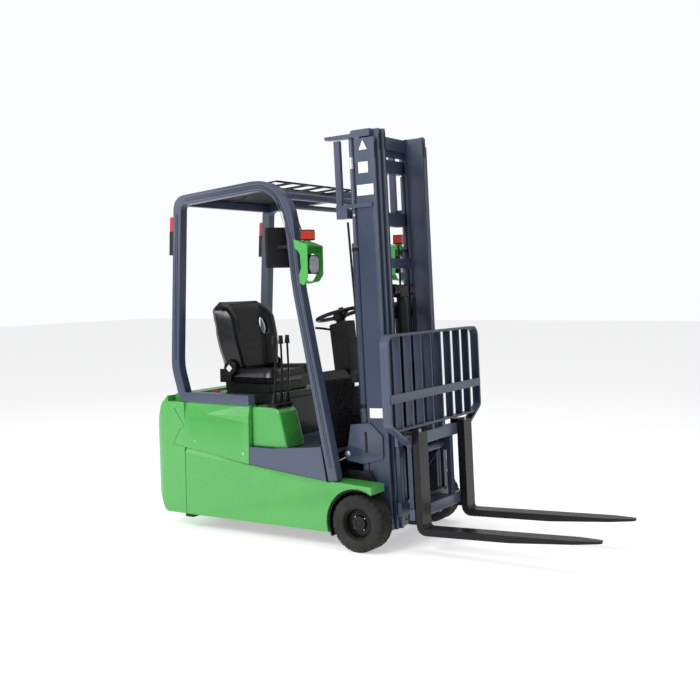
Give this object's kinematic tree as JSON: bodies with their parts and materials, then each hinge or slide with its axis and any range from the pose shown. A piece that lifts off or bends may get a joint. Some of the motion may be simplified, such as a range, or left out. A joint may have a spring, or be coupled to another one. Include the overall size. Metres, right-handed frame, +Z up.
{
  "type": "counterbalance forklift truck",
  "caption": "Electric counterbalance forklift with a triple-stage mast, side shifter, forks, overhead guard and a steered twin rear wheel.",
  "frame": {"origin": "on the ground under the middle of the machine's overall length and width", "axes": "+X forward, the way the forks point; +Y to the operator's left; +Z up"},
  "size_m": [2.875, 1.158, 2.3884],
  "materials": {
    "green_paint": "gloss",
    "slate_paint": "semi-gloss",
    "black_paint": "satin",
    "battery_case": "matt",
    "tyre_rubber": "matt",
    "seat_vinyl": "grained vinyl",
    "black_plastic": "satin",
    "chromed_rod": "polished",
    "lamp_body": "gloss"
  },
  "bodies": {
    "chassis": {"battery": "battery_case", "chassis_frame": "black_paint", "control_console": "green_paint", "control_levers": "black_paint", "counterweight": "green_paint", "floor_plate": "slate_paint", "foot_pedals": "black_paint", "front_axle": "black_paint", "front_cowl": "black_paint", "light_bracket_left": "green_paint", "light_bracket_right": "green_paint", "mirror": "black_plastic", "overhead_guard": "slate_paint", "rear_lamp_left": "lamp_body", "rear_lamp_right": "lamp_body", "roof_grille": "black_paint", "side_cover_left": "green_paint", "side_cover_right": "green_paint", "side_panel_left": "green_paint", "side_panel_right": "green_paint", "steering_column": "black_paint"},
    "hood": {"battery_hood": "green_paint"},
    "seat": {"seat_base": "black_plastic", "seat_cushion": "seat_vinyl", "seat_back": "seat_vinyl"},
    "front_wheel_left": {"front_tyre_left": "tyre_rubber", "front_rim_left": "black_paint"},
    "front_wheel_right": {"front_tyre_right": "tyre_rubber", "front_rim_right": "black_paint"},
    "steered_yoke": {"steer_yoke": "black_paint"},
    "rear_wheels": {"rear_tyre_left": "tyre_rubber", "rear_tyre_right": "tyre_rubber", "rear_hubs": "black_paint"},
    "steering_wheel": {"steering_wheel": "black_plastic"},
    "outer_mast": {"outer_mast": "slate_paint", "lift_cylinder_left": "slate_paint", "lift_cylinder_right": "slate_paint"},
    "middle_mast": {"middle_mast": "slate_paint", "lift_rod_left": "chromed_rod", "lift_rod_right": "chromed_rod"},
    "inner_mast": {"inner_mast": "slate_paint", "free_lift_cylinder": "black_paint"},
    "free_lift_crosshead": {"free_lift_crosshead": "black_paint"},
    "carriage": {"carriage": "slate_paint"},
    "side_shifter": {"side_shifter": "slate_paint", "load_backrest": "slate_paint"},
    "fork_left": {"fork_left": "black_paint"},
    "fork_right": {"fork_right": "black_paint"},
    "tilt_cylinder_left": {"tilt_cylinder_left": "black_paint"},
    "tilt_cylinder_right": {"tilt_cylinder_right": "black_paint"},
    "tilt_rod_left": {"tilt_rod_left": "chromed_rod"},
    "tilt_rod_right": {"tilt_rod_right": "chromed_rod"}
  },
  "joints": [
    {"name": "front_wheel_spin_left", "type": "hinge", "parent": "chassis", "child": "front_wheel_left", "pos_m": [0.08867, 0.43, 0.16421], "axis": [0, 1, 0], "continuous": true},
    {"name": "front_wheel_spin_right", "type": "hinge", "parent": "chassis", "child": "front_wheel_right", "pos_m": [0.08867, -0.43, 0.16421], "axis": [0, 1, 0], "continuous": true},
    {"name": "rear_steer", "type": "hinge", "parent": "chassis", "child": "steered_yoke", "pos_m": [-1.11133, 0, 0.14928], "axis": [0, 0, 1], "range_deg": [-88, 88]},
    {"name": "rear_wheels_spin", "type": "hinge", "parent": "steered_yoke", "child": "rear_wheels", "pos_m": [-1.11133, 0, 0.14928], "axis": [0, 1, 0], "continuous": true},
    {"name": "steering_wheel_turn", "type": "hinge", "parent": "chassis", "child": "steering_wheel", "pos_m": [-0.31933, 0, 1.328], "axis": [-0.2924, 0, 0.9563], "range_deg": [-720, 720]},
    {"name": "hood_lift", "type": "hinge", "parent": "chassis", "child": "hood", "pos_m": [-1.15133, 0, 0.85], "axis": [0, -1, 0], "range_deg": [0, 45]},
    {"name": "seat_adjust", "type": "slide", "parent": "hood", "child": "seat", "axis": [1, 0, 0], "range_m": [-0.06, 0.06]},
    {"name": "mast_tilt", "type": "hinge", "parent": "chassis", "child": "outer_mast", "pos_m": [0.05867, 0, 0.165], "axis": [0, 1, 0], "range_deg": [-2.8, 5.2]},
    {"name": "tilt_cylinder_swing_left", "type": "hinge", "parent": "chassis", "child": "tilt_cylinder_left", "pos_m": [-0.47133, 0.295, 0.33], "axis": [0, 1, 0], "range_deg": [-0.305, 0.5665]},
    {"name": "tilt_rod_stroke_left", "type": "slide", "parent": "tilt_cylinder_left", "child": "tilt_rod_left", "axis": [0.8984, 0, 0.4393], "range_m": [-0.019, 0.0353]},
    {"name": "tilt_cylinder_swing_right", "type": "hinge", "parent": "chassis", "child": "tilt_cylinder_right", "pos_m": [-0.47133, -0.295, 0.33], "axis": [0, 1, 0], "range_deg": [-0.305, 0.5665]},
    {"name": "tilt_rod_stroke_right", "type": "slide", "parent": "tilt_cylinder_right", "child": "tilt_rod_right", "axis": [0.8984, 0, 0.4393], "range_m": [-0.019, 0.0353]},
    {"name": "middle_mast_lift", "type": "slide", "parent": "outer_mast", "child": "middle_mast", "axis": [-0.0384, 0, 0.9993], "range_m": [0, 1.45]},
    {"name": "inner_mast_lift", "type": "slide", "parent": "middle_mast", "child": "inner_mast", "axis": [-0.0384, 0, 0.9993], "range_m": [0, 1.45]},
    {"name": "carriage_lift", "type": "slide", "parent": "inner_mast", "child": "carriage", "axis": [-0.0384, 0, 0.9993], "range_m": [0, 1.45]},
    {"name": "free_lift", "type": "slide", "parent": "inner_mast", "child": "free_lift_crosshead", "axis": [-0.0384, 0, 0.9993], "range_m": [0, 0.725]},
    {"name": "side_shift", "type": "slide", "parent": "carriage", "child": "side_shifter", "axis": [0, 1, 0], "range_m": [-0.1, 0.1]},
    {"name": "fork_spread_left", "type": "slide", "parent": "side_shifter", "child": "fork_left", "axis": [0, 1, 0], "range_m": [-0.15, 0]},
    {"name": "fork_spread_right", "type": "slide", "parent": "side_shifter", "child": "fork_right", "axis": [0, 1, 0], "range_m": [0, 0.15]}
  ],
  "couplings": [
    {"joint": "steering_wheel_turn", "follows": "rear_steer", "ratio": -8},
    {"joint": "inner_mast_lift", "follows": "middle_mast_lift", "ratio": 1},
    {"joint": "free_lift", "follows": "carriage_lift", "ratio": 0.5},
    {"joint": "tilt_cylinder_swing_left", "follows": "mast_tilt", "ratio": 0.1068},
    {"joint": "tilt_rod_stroke_left", "follows": "mast_tilt", "m_per_rad": 0.381},
    {"joint": "tilt_cylinder_swing_right", "follows": "mast_tilt", "ratio": 0.1068},
    {"joint": "tilt_rod_stroke_right", "follows": "mast_tilt", "m_per_rad": 0.381}
  ]
}
